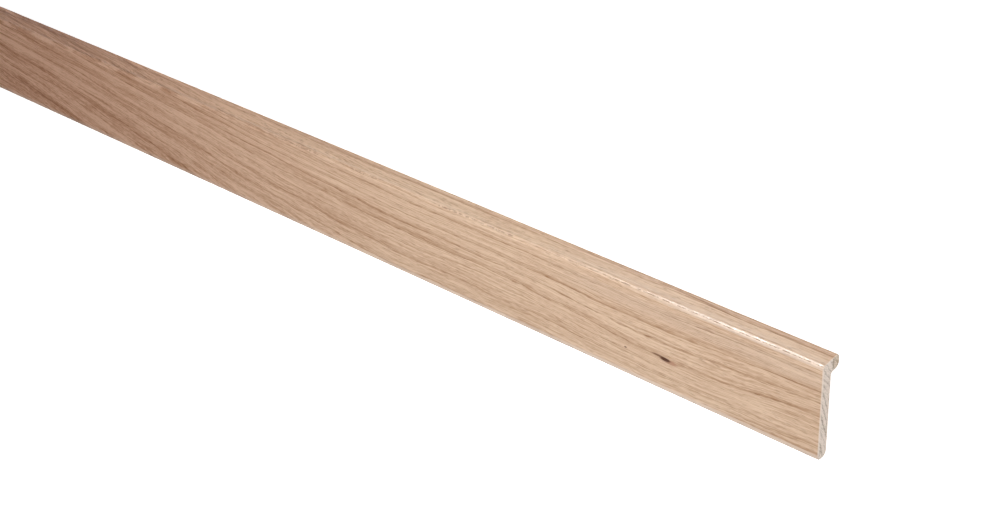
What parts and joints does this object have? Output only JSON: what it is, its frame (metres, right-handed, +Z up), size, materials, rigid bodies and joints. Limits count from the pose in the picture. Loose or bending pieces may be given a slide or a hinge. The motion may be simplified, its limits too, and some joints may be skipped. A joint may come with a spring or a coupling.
{
  "type": "stair tread back strip",
  "caption": "Long solid oak L moulding with rounded edges; its short lip laps over a stair tread's top and its leg covers the tread's rear edge.",
  "frame": {"origin": "on the floor, under the middle of the strip's bounding box, as it lies face up", "axes": "+X along the strip's length, +Y across it from the foot to the lip, +Z up from the floor, out of the show face"},
  "size_m": [1.2, 0.0608, 0.0152],
  "materials": {
    "oak": "satin clear lacquer on the moulded faces, bare sawn ends"
  },
  "bodies": {
    "root": {"back_strip": "oak"}
  },
  "joints": []
}
